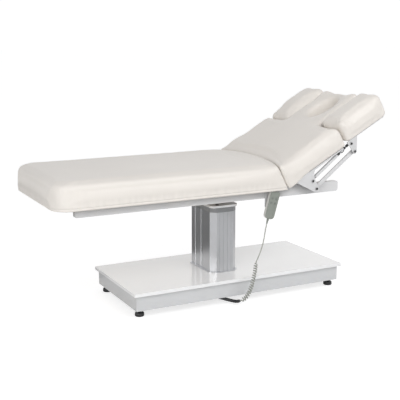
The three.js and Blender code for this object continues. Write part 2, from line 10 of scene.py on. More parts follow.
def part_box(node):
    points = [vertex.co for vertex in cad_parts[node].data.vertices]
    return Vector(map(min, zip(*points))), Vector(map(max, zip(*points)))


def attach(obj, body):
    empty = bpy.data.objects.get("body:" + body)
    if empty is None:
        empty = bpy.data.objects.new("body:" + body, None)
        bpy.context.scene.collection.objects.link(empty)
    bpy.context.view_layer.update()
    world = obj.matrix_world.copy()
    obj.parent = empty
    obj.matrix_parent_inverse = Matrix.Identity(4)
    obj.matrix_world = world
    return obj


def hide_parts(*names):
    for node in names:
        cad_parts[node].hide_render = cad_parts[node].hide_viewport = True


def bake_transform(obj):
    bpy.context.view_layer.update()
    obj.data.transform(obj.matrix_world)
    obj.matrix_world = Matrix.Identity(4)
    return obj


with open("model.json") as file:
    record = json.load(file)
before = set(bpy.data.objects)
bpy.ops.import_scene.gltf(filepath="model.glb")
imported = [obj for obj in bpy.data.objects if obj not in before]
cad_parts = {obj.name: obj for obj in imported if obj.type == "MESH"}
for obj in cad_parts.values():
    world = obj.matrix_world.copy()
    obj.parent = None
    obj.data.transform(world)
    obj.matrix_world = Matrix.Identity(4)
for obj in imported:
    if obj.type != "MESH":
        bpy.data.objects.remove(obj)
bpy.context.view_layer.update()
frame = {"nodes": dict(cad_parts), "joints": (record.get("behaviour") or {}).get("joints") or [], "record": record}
NODES = frame["nodes"]

# ---- Shared positions, metres ----
# The back section's own frame has its origin on the hinge and its x axis along the raised section.
BACK_TILT = next(joint for joint in frame["joints"] if joint["name"] == "back_tilt")
HINGE = Vector(BACK_TILT["pos_m"])
REST_TILT = math.radians(-BACK_TILT["range_deg"][0])
TILT_COS = math.cos(REST_TILT)
TILT_SIN = math.sin(REST_TILT)
BACK = Matrix.Translation(HINGE) @ Matrix.Rotation(-REST_TILT, 4, "Y")
LEG_LOW, LEG_HIGH = [[round(value, 4) for value in corner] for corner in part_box("leg_cushion")]
FOOT_END = LEG_LOW[0]
LEG_HEM = LEG_LOW[2]
HALF_WIDTH = LEG_HIGH[1]
LEG_TOP = LEG_HIGH[2]
SIDES = (("near", -1), ("far", 1))


# ---- Camera, light and floor ----
CAMERA_PLACE = (-2.0496, -3.9258, 1.4197)
CAMERA_DOWN = 10.652
CAMERA_TURN = -27.233
CAMERA_LENS = 74.41
CAMERA_SHIFT = -0.0335

LIGHTS = (
    ("key", (1.0, -2.6, 2.9), (0.0, 0.0, 0.5), (1.8, 1.2), 40),
    ("fill", (-2.6, -2.4, 1.2), (-0.4, 0.0, 0.6), (1.6, 1.6), 26),
    ("rim", (1.8, 2.4, 2.4), (0.3, 0.0, 0.6), (2.0, 1.4), 2),
)


def make_camera():
    """A long lens from the foot end's near side, looking slightly down."""
    data = bpy.data.cameras.new("camera")
    data.lens = CAMERA_LENS
    data.sensor_width = 36.0
    data.shift_y = CAMERA_SHIFT
    camera = bpy.data.objects.new("camera", data)
    camera.location = CAMERA_PLACE
    camera.rotation_euler = (math.radians(90 - CAMERA_DOWN), 0, math.radians(CAMERA_TURN))
    bpy.context.scene.collection.objects.link(camera)
    bpy.context.scene.camera = camera


def area_light(name, location, target, size, power):
    """A soft box aimed at a point."""
    data = bpy.data.lights.new(name, "AREA")
    data.shape = "RECTANGLE"
    data.size, data.size_y = size
    data.energy = power
    light = bpy.data.objects.new(name, data)
    light.location = location
    aim = Vector(target) - Vector(location)
    light.rotation_euler = aim.to_track_quat("-Z", "Y").to_euler()
    bpy.context.scene.collection.objects.link(light)


def split_rays(tree, lighting, seen, output):
    """Shows the camera one shader and everything else another."""
    path = tree.nodes.new("ShaderNodeLightPath")
    mix = tree.nodes.new("ShaderNodeMixShader")
    tree.links.new(path.outputs["Is Camera Ray"], mix.inputs[0])
    tree.links.new(lighting, mix.inputs[1])
    tree.links.new(seen, mix.inputs[2])
    tree.links.new(mix.outputs[0], output.inputs["Surface"])


def two_tones(ramp, low_place, low_colour, high_place, high_colour):
    """Sets a colour ramp's two ends."""
    low, high = ramp.color_ramp.elements
    low.position = low_place
    low.color = (*low_colour, 1)
    high.position = high_place
    high.color = (*high_colour, 1)


def make_sky():
    """A studio that is white at the sides and grey overhead, a little brighter in mirrors."""
    world = bpy.data.worlds.new("studio")
    bpy.context.scene.world = world
    world.use_nodes = True
    tree = world.node_tree
    background = tree.nodes["Background"]
    coords = tree.nodes.new("ShaderNodeTexCoord")
    split = tree.nodes.new("ShaderNodeSeparateXYZ")
    sky = tree.nodes.new("ShaderNodeValToRGB")
    tree.links.new(coords.outputs["Generated"], split.inputs[0])
    tree.links.new(split.outputs["Z"], sky.inputs[0])
    tree.links.new(sky.outputs[0], background.inputs["Color"])
    two_tones(sky, 0.2, (1.0, 1.0, 1.0), 0.85, (0.42, 0.42, 0.43))
    path = tree.nodes.new("ShaderNodeLightPath")
    gain = tree.nodes.new("ShaderNodeMath")
    gain.operation = "MULTIPLY_ADD"
    tree.links.new(path.outputs["Is Glossy Ray"], gain.inputs[0])
    gain.inputs[1].default_value = 0.26
    gain.inputs[2].default_value = 0.88
    tree.links.new(gain.outputs[0], background.inputs["Strength"])
    seen = tree.nodes.new("ShaderNodeBackground")
    seen.inputs["Strength"].default_value = 1.05
    seen.inputs["Color"].default_value = (1, 1, 1, 1)
    split_rays(tree, background.outputs[0], seen.outputs[0], tree.nodes["World Output"])


def make_floor():
    """A pale floor that glows to the camera, so that it runs into the white behind it."""
    bm = bmesh.new()
    bmesh.ops.create_grid(bm, x_segments=24, y_segments=24, size=60.0)
    mesh = bpy.data.meshes.new("floor")
    bm.to_mesh(mesh)
    bm.free()
    floor = bpy.data.objects.new("floor", mesh)
    bpy.context.scene.collection.objects.link(floor)
    material = bpy.data.materials.new("pale_floor")
    material.use_nodes = True
    tree = material.node_tree
    shader = tree.nodes["Principled BSDF"]
    shader.inputs["Base Color"].default_value = (0.80, 0.80, 0.80, 1)
    shader.inputs["Roughness"].default_value = 0.8
    lit = tree.nodes.new("ShaderNodeBsdfDiffuse")
    lit.inputs["Color"].default_value = (0.50, 0.50, 0.50, 1)
    glow = tree.nodes.new("ShaderNodeEmission")
    glow.inputs["Strength"].default_value = 0.74
    both = tree.nodes.new("ShaderNodeAddShader")
    tree.links.new(lit.outputs[0], both.inputs[0])
    tree.links.new(glow.outputs[0], both.inputs[1])
    split_rays(tree, shader.outputs[0], both.outputs[0], tree.nodes["Material Output"])
    mesh.materials.append(material)
    return floor


def make_black_card():
    """A black card on the floor behind, which only mirror-like surfaces see, as beside polished metal."""
    left, right, front, rear, height = -1.7, -0.05, 0.45, 2.7, 0.01
    verts = [(left, front, height), (right, front, height), (right, rear, height), (left, rear, height)]
    mesh = bpy.data.meshes.new("black_card")
    mesh.from_pydata(verts, [], [(0, 1, 2, 3)])
    card = bpy.data.objects.new("black_card", mesh)
    bpy.context.scene.collection.objects.link(card)
    black = bpy.data.materials.new("black_card")
    black.use_nodes = True
    black.node_tree.nodes["Principled BSDF"].inputs["Base Color"].default_value = (0.02, 0.02, 0.02, 1)
    mesh.materials.append(black)
    card.visible_camera = False
    card.visible_diffuse = False
    card.visible_shadow = False
    card.visible_transmission = False
    return card


def make_stage():
    """A plain white studio: sky, lamps, floor and card."""
    bpy.context.scene.view_settings.view_transform = "Standard"
    make_sky()
    for light in LIGHTS:
        area_light(*light)
    floor = make_floor()
    card = make_black_card()


# ---- Materials ----
def faded(colour, gain, lift=0.0):
    """The colour scaled and lifted, no channel over 1."""
    return [min(1.0, c * gain + lift) for c in colour]


def colour_drift(tree, coords, colour, variation, spread):
    """The colour, which drifts a little across the surface."""
    drift = tree.nodes.new("ShaderNodeTexNoise")
    drift.inputs["Scale"].default_value = spread
    drift.inputs["Detail"].default_value = 5.0
    tree.links.new(coords.outputs["Object"], drift.inputs["Vector"])
    tones = tree.nodes.new("ShaderNodeValToRGB")
    two_tones(tones, 0.3, faded(colour, 1.0 - variation), 0.7, faded(colour, 1.0 + variation * 0.5))
    tree.links.new(drift.outputs["Fac"], tones.inputs[0])
    return tones.outputs[0]


def mixed(tree, share, tint, other):
    """A blend of a tint and another colour, by a share from 0 to 1."""
    mix = tree.nodes.new("ShaderNodeMix")
    mix.data_type = "RGBA"
    tree.links.new(share, mix.inputs["Factor"])
    tree.links.new(tint, mix.inputs["A"])
    mix.inputs["B"].default_value = (*other, 1)
    return mix.outputs["Result"]


def edge_wear(tree, tint, colour, wear):
    """Edges rubbed paler."""
    geometry = tree.nodes.new("ShaderNodeNewGeometry")
    edges = tree.nodes.new("ShaderNodeValToRGB")
    two_tones(edges, 0.52, (0, 0, 0), 0.62, (wear, wear, wear))
    tree.links.new(geometry.outputs["Pointiness"], edges.inputs[0])
    return mixed(tree, edges.outputs[0], tint, faded(colour, 0.82, 0.16))


def paint_corner_shade(tree, tint, colour, corner_shade):
    """Painted shade: the colour darkened where ambient occlusion finds surfaces close by, in corners and under
    overhanging parts.
    """
    corners = tree.nodes.new("ShaderNodeAmbientOcclusion")
    corners.inputs["Distance"].default_value = 0.11
    corners.samples = 8
    shade_share = tree.nodes.new("ShaderNodeMapRange")
    shade_share.inputs["From Min"].default_value = 0.35
    shade_share.inputs["From Max"].default_value = 0.95
    shade_share.inputs["To Min"].default_value = corner_shade
    shade_share.inputs["To Max"].default_value = 0.0
    tree.links.new(corners.outputs["AO"], shade_share.inputs["Value"])
    return mixed(tree, shade_share.outputs["Result"], tint, faded(colour, 0.35))


def surface_grain(tree, coords, kind, size):
    """The fine noise of a grain, and the height that it gives the surface."""
    mapping = tree.nodes.new("ShaderNodeMapping")
    tree.links.new(coords.outputs["Object"], mapping.inputs["Vector"])
    if kind == "brushed":
        mapping.inputs["Scale"].default_value = (size, size, size / 70)
    elif kind == "wood":
        mapping.inputs["Scale"].default_value = (size / 14, size, size * 3)
    fine = tree.nodes.new("ShaderNodeTexNoise")
    fine.inputs["Scale"].default_value = 1.0 if kind in ("brushed", "wood") else size
    fine.inputs["Detail"].default_value = 4.0
    tree.links.new(mapping.outputs["Vector"], fine.inputs["Vector"])
    if kind != "leather":
        return fine.outputs["Fac"], fine.outputs["Fac"]
    cells = tree.nodes.new("ShaderNodeTexVoronoi")
    cells.feature = "DISTANCE_TO_EDGE"
    cells.inputs["Scale"].default_value = size
    tree.links.new(mapping.outputs["Vector"], cells.inputs["Vector"])
    pebbles = tree.nodes.new("ShaderNodeMath")
    pebbles.operation = "MULTIPLY_ADD"
    tree.links.new(cells.outputs["Distance"], pebbles.inputs[0])
    pebbles.inputs[1].default_value = 1.6
    tree.links.new(fine.outputs["Fac"], pebbles.inputs[2])
    return fine.outputs["Fac"], pebbles.outputs[0]


def node_material(name, colour, roughness, grain, metallic=0.0, coat=0.0, variation=0.04, spread=3.0,
                  wear=0.0, rough_span=0.06, sheen=0.0, corner_shade=0.0):
    """A principled material whose colour drifts, whose gloss is uneven and whose surface has a grain."""
    material = bpy.data.materials.new(name)
    material.use_nodes = True
    tree = material.node_tree
    shader = tree.nodes["Principled BSDF"]
    shader.inputs["Metallic"].default_value = metallic
    shader.inputs["Coat Weight"].default_value = coat
    shader.inputs["Coat Roughness"].default_value = 0.08
    shader.inputs["Sheen Weight"].default_value = sheen
    coords = tree.nodes.new("ShaderNodeTexCoord")
    tint = colour_drift(tree, coords, colour, variation, spread)
    if wear > 0:
        tint = edge_wear(tree, tint, colour, wear)
    # Painted shade: darken corners and the parts under overhangs, where ambient occlusion finds surfaces close by.
    if corner_shade > 0:
        tint = paint_corner_shade(tree, tint, colour, corner_shade)
    tree.links.new(tint, shader.inputs["Base Color"])

    kind, size, strength, depth = grain
    fine, height = surface_grain(tree, coords, kind, size)
    bump = tree.nodes.new("ShaderNodeBump")
    bump.inputs["Strength"].default_value = strength
    bump.inputs["Distance"].default_value = depth
    tree.links.new(height, bump.inputs["Height"])
    tree.links.new(bump.outputs["Normal"], shader.inputs["Normal"])
    gloss = tree.nodes.new("ShaderNodeMapRange")
    gloss.inputs["To Min"].default_value = max(0.02, roughness - rough_span)
    gloss.inputs["To Max"].default_value = min(1.0, roughness + rough_span)
    tree.links.new(fine, gloss.inputs["Value"])
    tree.links.new(gloss.outputs["Result"], shader.inputs["Roughness"])
    return material


def make_materials():
    """Each grain is its kind, size, strength and depth in metres."""
    lacquer = ("peel", 70.0, 0.02, 0.0006)
    return {
        "lacquer": node_material(
            "gloss_white_lacquer", (0.93, 0.935, 0.94), 0.21, lacquer,
            coat=0.9, variation=0.015, wear=0.15, rough_span=0.04),
        # The skirt is the same white lacquer as the top plate, painted darker as shade under the plate and the
        # bed.
        "skirt": node_material(
            "white_lacquer_painted_shade", (0.66, 0.67, 0.68), 0.2, lacquer,
            coat=0.7, variation=0.02, wear=0.15, rough_span=0.04),
        # The white paint is darkened in its corners and under overhangs by painted shade.
        "white_paint": node_material(
            "white_powder_paint", (0.69, 0.69, 0.695), 0.36, ("peel", 420.0, 0.07, 0.0003),
            variation=0.03, wear=0.35, corner_shade=0.7),
        "steel": node_material(
            "zinc_steel", (0.55, 0.56, 0.58), 0.38, ("brushed", 700.0, 0.10, 0.0002),
            metallic=1.0, variation=0.10, wear=0.4),
        "aluminium": node_material(
            "anodised_aluminium", (0.56, 0.57, 0.59), 0.30, ("brushed", 900.0, 0.14, 0.0002),
            metallic=0.9, variation=0.05, wear=0.6),
        "drive_housing": node_material(
            "cast_drive_housing", (0.22, 0.23, 0.24), 0.5, ("speckle", 500.0, 0.25, 0.0003),
            metallic=0.7, variation=0.1, wear=0.3),
        "black_plastic": node_material(
            "black_moulded_plastic", (0.022, 0.022, 0.024), 0.42, ("speckle", 1400.0, 0.22, 0.0003),
            variation=0.12, wear=0.15),
        "column_cap": node_material(
            "grey_cap_plastic", (0.27, 0.28, 0.29), 0.42, ("speckle", 1200.0, 0.16, 0.0002),
            variation=0.06, wear=0.2),
        "plywood": node_material(
            "birch_plywood", (0.60, 0.45, 0.29), 0.62, ("wood", 160.0, 0.25, 0.0005),
            variation=0.22, spread=9.0),
        "leatherette": node_material(
            "ivory_leatherette", (0.81, 0.77, 0.72), 0.46, ("leather", 620.0, 0.12, 0.0004),
            variation=0.035, spread=2.2, rough_span=0.08, sheen=0.1),
        "handset_grey": node_material(
            "grey_green_plastic", (0.255, 0.275, 0.245), 0.5, ("speckle", 1500.0, 0.2, 0.0002),
            variation=0.05, spread=14.0, wear=0.25),
        "handset_white": node_material(
            "off_white_plastic", (0.70, 0.70, 0.67), 0.42, ("speckle", 1500.0, 0.15, 0.0002),
            variation=0.04, spread=14.0, wear=0.1),
        "cord_grey": node_material(
            "grey_cord_rubber", (0.42, 0.43, 0.395), 0.52, ("speckle", 1800.0, 0.2, 0.0002),
            variation=0.10, spread=40.0),
        "keys": node_material(
            "soft_key_rubber", (0.19, 0.205, 0.185), 0.55, ("speckle", 2200.0, 0.2, 0.0002),
            variation=0.12, spread=60.0, wear=0.2),
    }


MATERIALS = make_materials()

# Nodes whose finish differs from that of their material slot. The skirt's darker copy of the white lacquer is
# painted shade, and the flange takes the lacquer, which carries no painted corner shade.
SPECIAL_FINISH = {"base_skirt": "skirt", "column_top_flange": "lacquer"}
SHARP_ANGLE = math.radians(28)


def dress_cad_nodes():
    """Gives each carried-over CAD node its finish and smooth round faces."""
    for part in frame["record"]["subparts"]:
        mesh = NODES[part["node"]].data
        slots = mesh.materials
        if len(slots) == 0:
            slots.append(None)
        finish = SPECIAL_FINISH.get(part["node"], part["material_slot"])
        for index in range(len(slots)):
            slots[index] = MATERIALS[finish]
        mesh.polygons.foreach_set("use_smooth", [True] * len(mesh.polygons))
        if mesh.has_custom_normals:
            mesh.normals_split_custom_set([(0, 0, 0)] * len(mesh.loops))
        mesh.set_sharp_from_angle(angle=SHARP_ANGLE)


# ---- Mesh helpers ----
def new_object(name, verts, faces, material, smooth=True):
    """A mesh object of one material, with its faces turned outwards."""
    mesh = bpy.data.meshes.new(name)
    mesh.from_pydata([tuple(v) for v in verts], [], faces)
    mesh.validate()
    bm = bmesh.new()
    bm.from_mesh(mesh)
    bmesh.ops.recalc_face_normals(bm, faces=bm.faces)
    bm.to_mesh(mesh)
    bm.free()
    mesh.materials.append(MATERIALS[material])
    mesh.polygons.foreach_set("use_smooth", [smooth] * len(mesh.polygons))
    obj = bpy.data.objects.new(name, mesh)
    bpy.context.scene.collection.objects.link(obj)
    return obj


def apply_modifiers(obj):
    """Turns the object's modified shape into its mesh."""
    bpy.context.view_layer.update()
    graph = bpy.context.evaluated_depsgraph_get()
    mesh = bpy.data.meshes.new_from_object(obj.evaluated_get(graph))
    obj.modifiers.clear()
    old = obj.data
    obj.data = mesh
    bpy.data.meshes.remove(old)
    return obj


def catmull(points, per_span):
    """A smooth line through the points."""
    p = [Vector(q) for q in points]
    p = [2 * p[0] - p[1]] + p + [2 * p[-1] - p[-2]]
    line = []
    for i in range(1, len(p) - 2):
        for k in range(per_span):
            t = k / per_span
            line.append(0.5 * ((2 * p[i]) + (p[i + 1] - p[i - 1]) * t
                               + (2 * p[i - 1] - 5 * p[i] + 4 * p[i + 1] - p[i + 2]) * t * t
                               + (3 * p[i] - p[i - 1] - 3 * p[i + 1] + p[i + 2]) * t ** 3))
    line.append(p[-2].copy())
    return line


def swept(line, radii, sides=10, closed=False):
    """A tube of given radii along a line, with a frame that doesn't twist."""
    verts, faces = [], []
    count = len(line)
    normal = None
    for i, point in enumerate(line):
        ahead = line[(i + 1) % count] if closed else line[min(i + 1, count - 1)]
        behind = line[i - 1] if closed else line[max(i - 1, 0)]
        tangent = (ahead - behind).normalized()
        if normal is None:
            normal = tangent.orthogonal().normalized()
        normal = (normal - tangent * normal.dot(tangent)).normalized()
        side = tangent.cross(normal)
        radius = radii[i] if hasattr(radii, "__len__") else radii
        for k in range(sides):
            a = 2 * math.pi * k / sides
            verts.append(point + normal * (radius * math.cos(a)) + side * (radius * math.sin(a)))
    for i in range(count if closed else count - 1):
        j = (i + 1) % count
        for k in range(sides):
            m = (k + 1) % sides
            faces.append((i * sides + k, i * sides + m, j * sides + m, j * sides + k))
    if not closed:
        faces.append(tuple(range(sides))[::-1])
        faces.append(tuple((count - 1) * sides + k for k in range(sides)))
    return verts, faces


def turned(profile, start, axis, sides=24):
    """A body of revolution from (distance, radius) pairs along an axis, closed at both ends."""
    axis = Vector(axis).normalized()
    across = axis.orthogonal().normalized()
    other = axis.cross(across)
    start = Vector(start)
    verts, faces = [], []
    for distance, radius in profile:
        for k in range(sides):
            a = 2 * math.pi * k / sides
            spoke = across * (radius * math.cos(a)) + other * (radius * math.sin(a))
            verts.append(start + axis * distance + spoke)
    for i in range(len(profile) - 1):
        for k in range(sides):
            m = (k + 1) % sides
            faces.append((i * sides + k, i * sides + m, (i + 1) * sides + m, (i + 1) * sides + k))
    faces.append(tuple(range(sides))[::-1])
    faces.append(tuple((len(profile) - 1) * sides + k for k in range(sides)))
    return verts, faces


def merged(*parts):
    """Several (verts, faces) pairs as one."""
    verts, faces = [], []
    for part_verts, part_faces in parts:
        base = len(verts)
        verts += list(part_verts)
        faces += [tuple(base + i for i in face) for face in part_faces]
    return verts, faces


def filleted(corners, step=0.018, arc_steps=9):
    """A closed outline with rounded corners, from (x, y, radius) taken anticlockwise."""
    outline = []
    count = len(corners)
    for i in range(count):
        x, y, radius = corners[i]
        corner = Vector((x, y))
        to_last = (Vector(corners[i - 1][:2]) - corner).normalized()
        to_next = (Vector(corners[(i + 1) % count][:2]) - corner).normalized()
        half = to_last.angle(to_next) / 2
        reach = radius / math.tan(half)
        centre = corner + (to_last + to_next).normalized() * (radius / math.sin(half))
        first = corner + to_last * reach - centre
        last = corner + to_next * reach - centre
        turn = math.atan2(first.x * last.y - first.y * last.x, first.dot(last))
        for k in range(arc_steps + 1):
            a = turn * k / arc_steps
            outline.append(centre + Vector((first.x * math.cos(a) - first.y * math.sin(a),
                                            first.x * math.sin(a) + first.y * math.cos(a))))
    dense = []
    for i, point in enumerate(outline):
        following = outline[(i + 1) % len(outline)]
        dense.append(point)
        pieces = int((following - point).length / step)
        for k in range(1, pieces):
            dense.append(point.lerp(following, k / pieces))
    return np.array([[p.x, p.y] for p in dense])


def inward_normals(outline):
    """Unit vectors that point into an outline, at each of its points."""
    tangent = np.roll(outline, -1, 0) - np.roll(outline, 1, 0)
    tangent /= np.linalg.norm(tangent, axis=1, keepdims=True)
    return np.stack([-tangent[:, 1], tangent[:, 0]], 1)


def smoothstep(value, low, high):
    """0 below low, 1 above high, and a smooth rise between them."""
    t = np.clip((value - low) / (high - low), 0, 1)
    return t * t * (3 - 2 * t)


def edge_levels(hem, top, radius, tuck=0.006, steps=7):
    """(height, inset) pairs up the side of a pad, from its tucked lower edge to its rounded top edge."""
    levels = [(hem, tuck), (hem + tuck * 0.5, tuck * 0.25), (hem + tuck * 1.6, 0.0)]
    side = np.linspace(hem + 0.02, top - radius, 6)
    levels += [(z, 0.0) for z in side]
    for k in range(1, steps + 1):
        a = math.pi / 2 * k / steps
        levels.append((top - radius + radius * math.sin(a), radius * (1 - math.cos(a))))
    return levels


def pad_shell(outline, softness, levels, pocket, hole=None):
    """A closed pad: rings up its side, a pocket under it, and a hole through it if there is one."""
    bm = bmesh.new()
    normals = inward_normals(outline)

    def ring(points, height):
        return [bm.verts.new((p[0], p[1], height)) for p in points]

    def bridge(lower, upper):
        for i in range(len(lower)):
            j = (i + 1) % len(lower)
            bm.faces.new((lower[i], lower[j], upper[j], upper[i]))

    pocket_top, pocket_inset = pocket
    even = np.ones(len(outline))
    chain = [(pocket_top, pocket_inset, even), (levels[0][0], pocket_inset, even)]
    chain += [(z, inset, softness) for z, inset in levels]
    rings = [ring(outline + normals * (inset * weight)[:, None], z) for z, inset, weight in chain]
    for lower, upper in zip(rings, rings[1:]):
        bridge(lower, upper)
    lower_caps, upper_caps = [rings[0]], [rings[-1]]
    if hole is not None:
        hole_outline, hole_levels = hole
        outward = inward_normals(hole_outline)
        hole_rings = [ring(hole_outline - outward * inset, z) for z, inset in hole_levels]
        for lower, upper in zip(hole_rings, hole_rings[1:]):
            bridge(upper, lower)
        lower_caps.append(hole_rings[0])
        upper_caps.append(hole_rings[-1])
    for loops in (lower_caps, upper_caps):
        edges = []
        for loop in loops:
            edges += [bm.edges.get((loop[i], loop[(i + 1) % len(loop)])) for i in range(len(loop))]
        bmesh.ops.triangle_fill(bm, use_beauty=True, use_dissolve=False, edges=edges)
    bmesh.ops.recalc_face_normals(bm, faces=bm.faces)
    return bm


def shell_object(name, bm, voxel):
    """Remeshes a pad evenly, so that it can be puffed up and creased."""
    mesh = bpy.data.meshes.new(name)
    bm.to_mesh(mesh)
    bm.free()
    mesh.materials.append(MATERIALS["leatherette"])
    obj = bpy.data.objects.new(name, mesh)
    bpy.context.scene.collection.objects.link(obj)
    remesh = obj.modifiers.new("even", "REMESH")
    remesh.mode = "VOXEL"
    remesh.voxel_size = voxel
    relax = obj.modifiers.new("relax", "SMOOTH")
    relax.factor = 0.5
    relax.iterations = 4
    return apply_modifiers(obj)


def coordinates(obj):
    co = np.empty(len(obj.data.vertices) * 3)
    obj.data.vertices.foreach_get("co", co)
    return co.reshape(-1, 3)


def set_coordinates(obj, co):
    obj.data.vertices.foreach_set("co", np.ascontiguousarray(co, dtype=np.float64).ravel())
    obj.data.update()


def vertex_normals(obj):
    normals = np.empty(len(obj.data.vertices) * 3)
    obj.data.vertex_normals.foreach_get("vector", normals)
    return normals.reshape(-1, 3)


CLOTH_FRAMES = 14
CLOTH_QUALITY = 3
CLOTH_PRESSURE = 4


def hold(obj, weights):
    """Pins each point of a pad by its weight, rounded to a tenth."""
    group = obj.vertex_groups.new(name="held")
    rounded = np.round(weights, 1)
    for level in np.unique(rounded):
        if level > 0:
            group.add([int(i) for i in np.nonzero(rounded == level)[0]], float(level), "REPLACE")


def puff(pads):
    """Inflates the pads together as pinned cloth, each point moving at most its pad's cap."""
    starts = {}
    for obj, held, cap in pads:
        starts[obj.name] = coordinates(obj)
        hold(obj, held(starts[obj.name]))
        cloth = obj.modifiers.new("puff", "CLOTH")
        settings = cloth.settings
        settings.quality = CLOTH_QUALITY
        settings.use_pressure = True
        settings.uniform_pressure_force = CLOTH_PRESSURE
        settings.effector_weights.gravity = 0
        settings.vertex_group_mass = "held"
        cloth.point_cache.frame_end = CLOTH_FRAMES
    scene = bpy.context.scene
    for frame_number in range(1, CLOTH_FRAMES + 1):
        scene.frame_set(frame_number)
    graph = bpy.context.evaluated_depsgraph_get()
    for obj, held, cap in pads:
        moved = np.empty(len(obj.data.vertices) * 3)
        obj.evaluated_get(graph).data.vertices.foreach_get("co", moved)
        shift = moved.reshape(-1, 3) - starts[obj.name]
        length = np.linalg.norm(shift, axis=1, keepdims=True)
        shift *= np.minimum(1, cap / np.maximum(length, 1e-9))
        obj.modifiers.clear()
        set_coordinates(obj, starts[obj.name] + shift)
    scene.frame_set(1)


def refine(obj, levels=1, relax=2):
    """Smooths a pad and divides its faces."""
    soften = obj.modifiers.new("soften", "SMOOTH")
    soften.factor = 0.5
    soften.iterations = relax
    finer = obj.modifiers.new("finer", "SUBSURF")
    finer.levels = levels
    finer.render_levels = levels
    apply_modifiers(obj)
    obj.data.polygons.foreach_set("use_smooth", [True] * len(obj.data.polygons))
    return obj


def noise_at(co, scale, offset=0.0):
    """Smooth noise from -1 to 1 at each point, with its own scale along each axis."""
    sx, sy, sz = scale
    return np.array([noise.noise((x * sx + offset, y * sy, z * sz)) for x, y, z in co])


def ripple(distance, width):
    """1 where the distance is nought, fading out on both sides."""
    return np.exp(-(distance / width) ** 2)


def arch(distance, reach):
    """1 where the distance is nought, falling as a quarter of a wave to 0 at its reach."""
    return np.cos(np.clip(distance / reach, 0, 1) * math.pi / 2)


def surface(obj):
    """Each point's place and normal, how far it faces up and how far it faces sideways."""
    co = coordinates(obj)
    normals = vertex_normals(obj)
    up = np.clip(normals[:, 2], 0, 1)
    side = 1 - np.abs(normals[:, 2])
    return co, normals, up, side


def push(obj, co, normals, move):
    """Moves each point along its normal."""
    set_coordinates(obj, co + normals * move[:, None])


# ---- The crease where the two sections meet ----
CREASE_FOOT_Z = 0.617
CREASE_GAP = 0.0006


def crease_ends(y):
    """X of the crease at the hem and at the leg section's top, across the bed."""
    near = (np.maximum(-y, 0) / HALF_WIDTH) ** 2.2
    far = (np.maximum(y, 0) / HALF_WIDTH) ** 2.0
    bottom = 0.297 + 0.013 * smoothstep(np.abs(y), 0.29, 0.35)
    top = 0.312 - 0.072 * near - 0.036 * far
    return bottom, top


def crease_x(y, z):
    """X of the crease at a place across the bed and a height."""
    bottom, top = crease_ends(y)
    return bottom + (top - bottom) * (z - CREASE_FOOT_Z) / (LEG_TOP - CREASE_FOOT_Z)


def crease_along(y, perp):
    """The crease in the back section's own frame: how far along it, at a height square to it."""
    bottom, top = crease_ends(y)
    slope = (top - bottom) / (LEG_TOP - CREASE_FOOT_Z)
    start = bottom - HINGE.x
    drop = CREASE_FOOT_Z - HINGE.z
    rise = (perp + start * TILT_SIN - drop * slope * TILT_SIN) / (TILT_COS - slope * TILT_SIN)
    return start * TILT_COS + slope * TILT_COS * (rise - drop) + rise * TILT_SIN


# ---- Cushions ----
PAD_INSET = 0.004
VOXEL = 0.007
ARM_VOXEL = 0.0065

LEG_END = 0.300
LEG_CORNER = 0.088
LEG_POCKET = (0.6335, 0.018)
LEG_POCKET_END = 0.633


def make_leg_pad():
    """The leg cushion on its board, with its head end cut along the crease."""
    foot = FOOT_END + PAD_INSET
    side = HALF_WIDTH - PAD_INSET
    end = LEG_END
    outline = filleted([(foot, -side, LEG_CORNER), (end, -side, 0.014), (end, side, 0.014),
                        (foot, side, LEG_CORNER)])
    softness = 1 - 0.72 * smoothstep(outline[:, 0], end - 0.03, end - 0.008)
    levels = edge_levels(LEG_HEM, LEG_TOP - 0.003, 0.031)
    bm = pad_shell(outline, softness, levels, LEG_POCKET)
    for v in bm.verts:
        x, y, z = v.co
        share = float(smoothstep(x, 0.05, end))
        middle = 1 - (abs(y) / HALF_WIDTH) ** 2
        rise = 0.012 * middle * float(smoothstep(x, end - 0.10, end)) * float(smoothstep(z, 0.68, 0.72))
        v.co.x = x + share * (float(crease_x(y, z)) - CREASE_GAP - end)
        far_corner = float(smoothstep(y, 0.16, HALF_WIDTH)) * float(smoothstep(x, 0.20, end))
        v.co.z = z + rise - 0.012 * far_corner * float(smoothstep(z, 0.66, 0.72))
        if x > 0.24 and abs(y) < 0.33 and z < LEG_POCKET_END:
            v.co.z = LEG_POCKET_END
    return shell_object("leg_pad", bm, VOXEL)


def leg_held(co):
    """How firmly the cover is held: at its hem, under the pad and along the crease."""
    low = 1 - smoothstep(co[:, 2], 0.612, 0.650)
    inside = (np.abs(co[:, 1]) < 0.345) & (co[:, 2] < 0.645) & (co[:, 0] > FOOT_END + 0.02)
    end = smoothstep(co[:, 0] - crease_x(co[:, 1], co[:, 2]), -0.05, -0.01) * 0.6
    return np.maximum(np.maximum(low, inside.astype(float)), end)


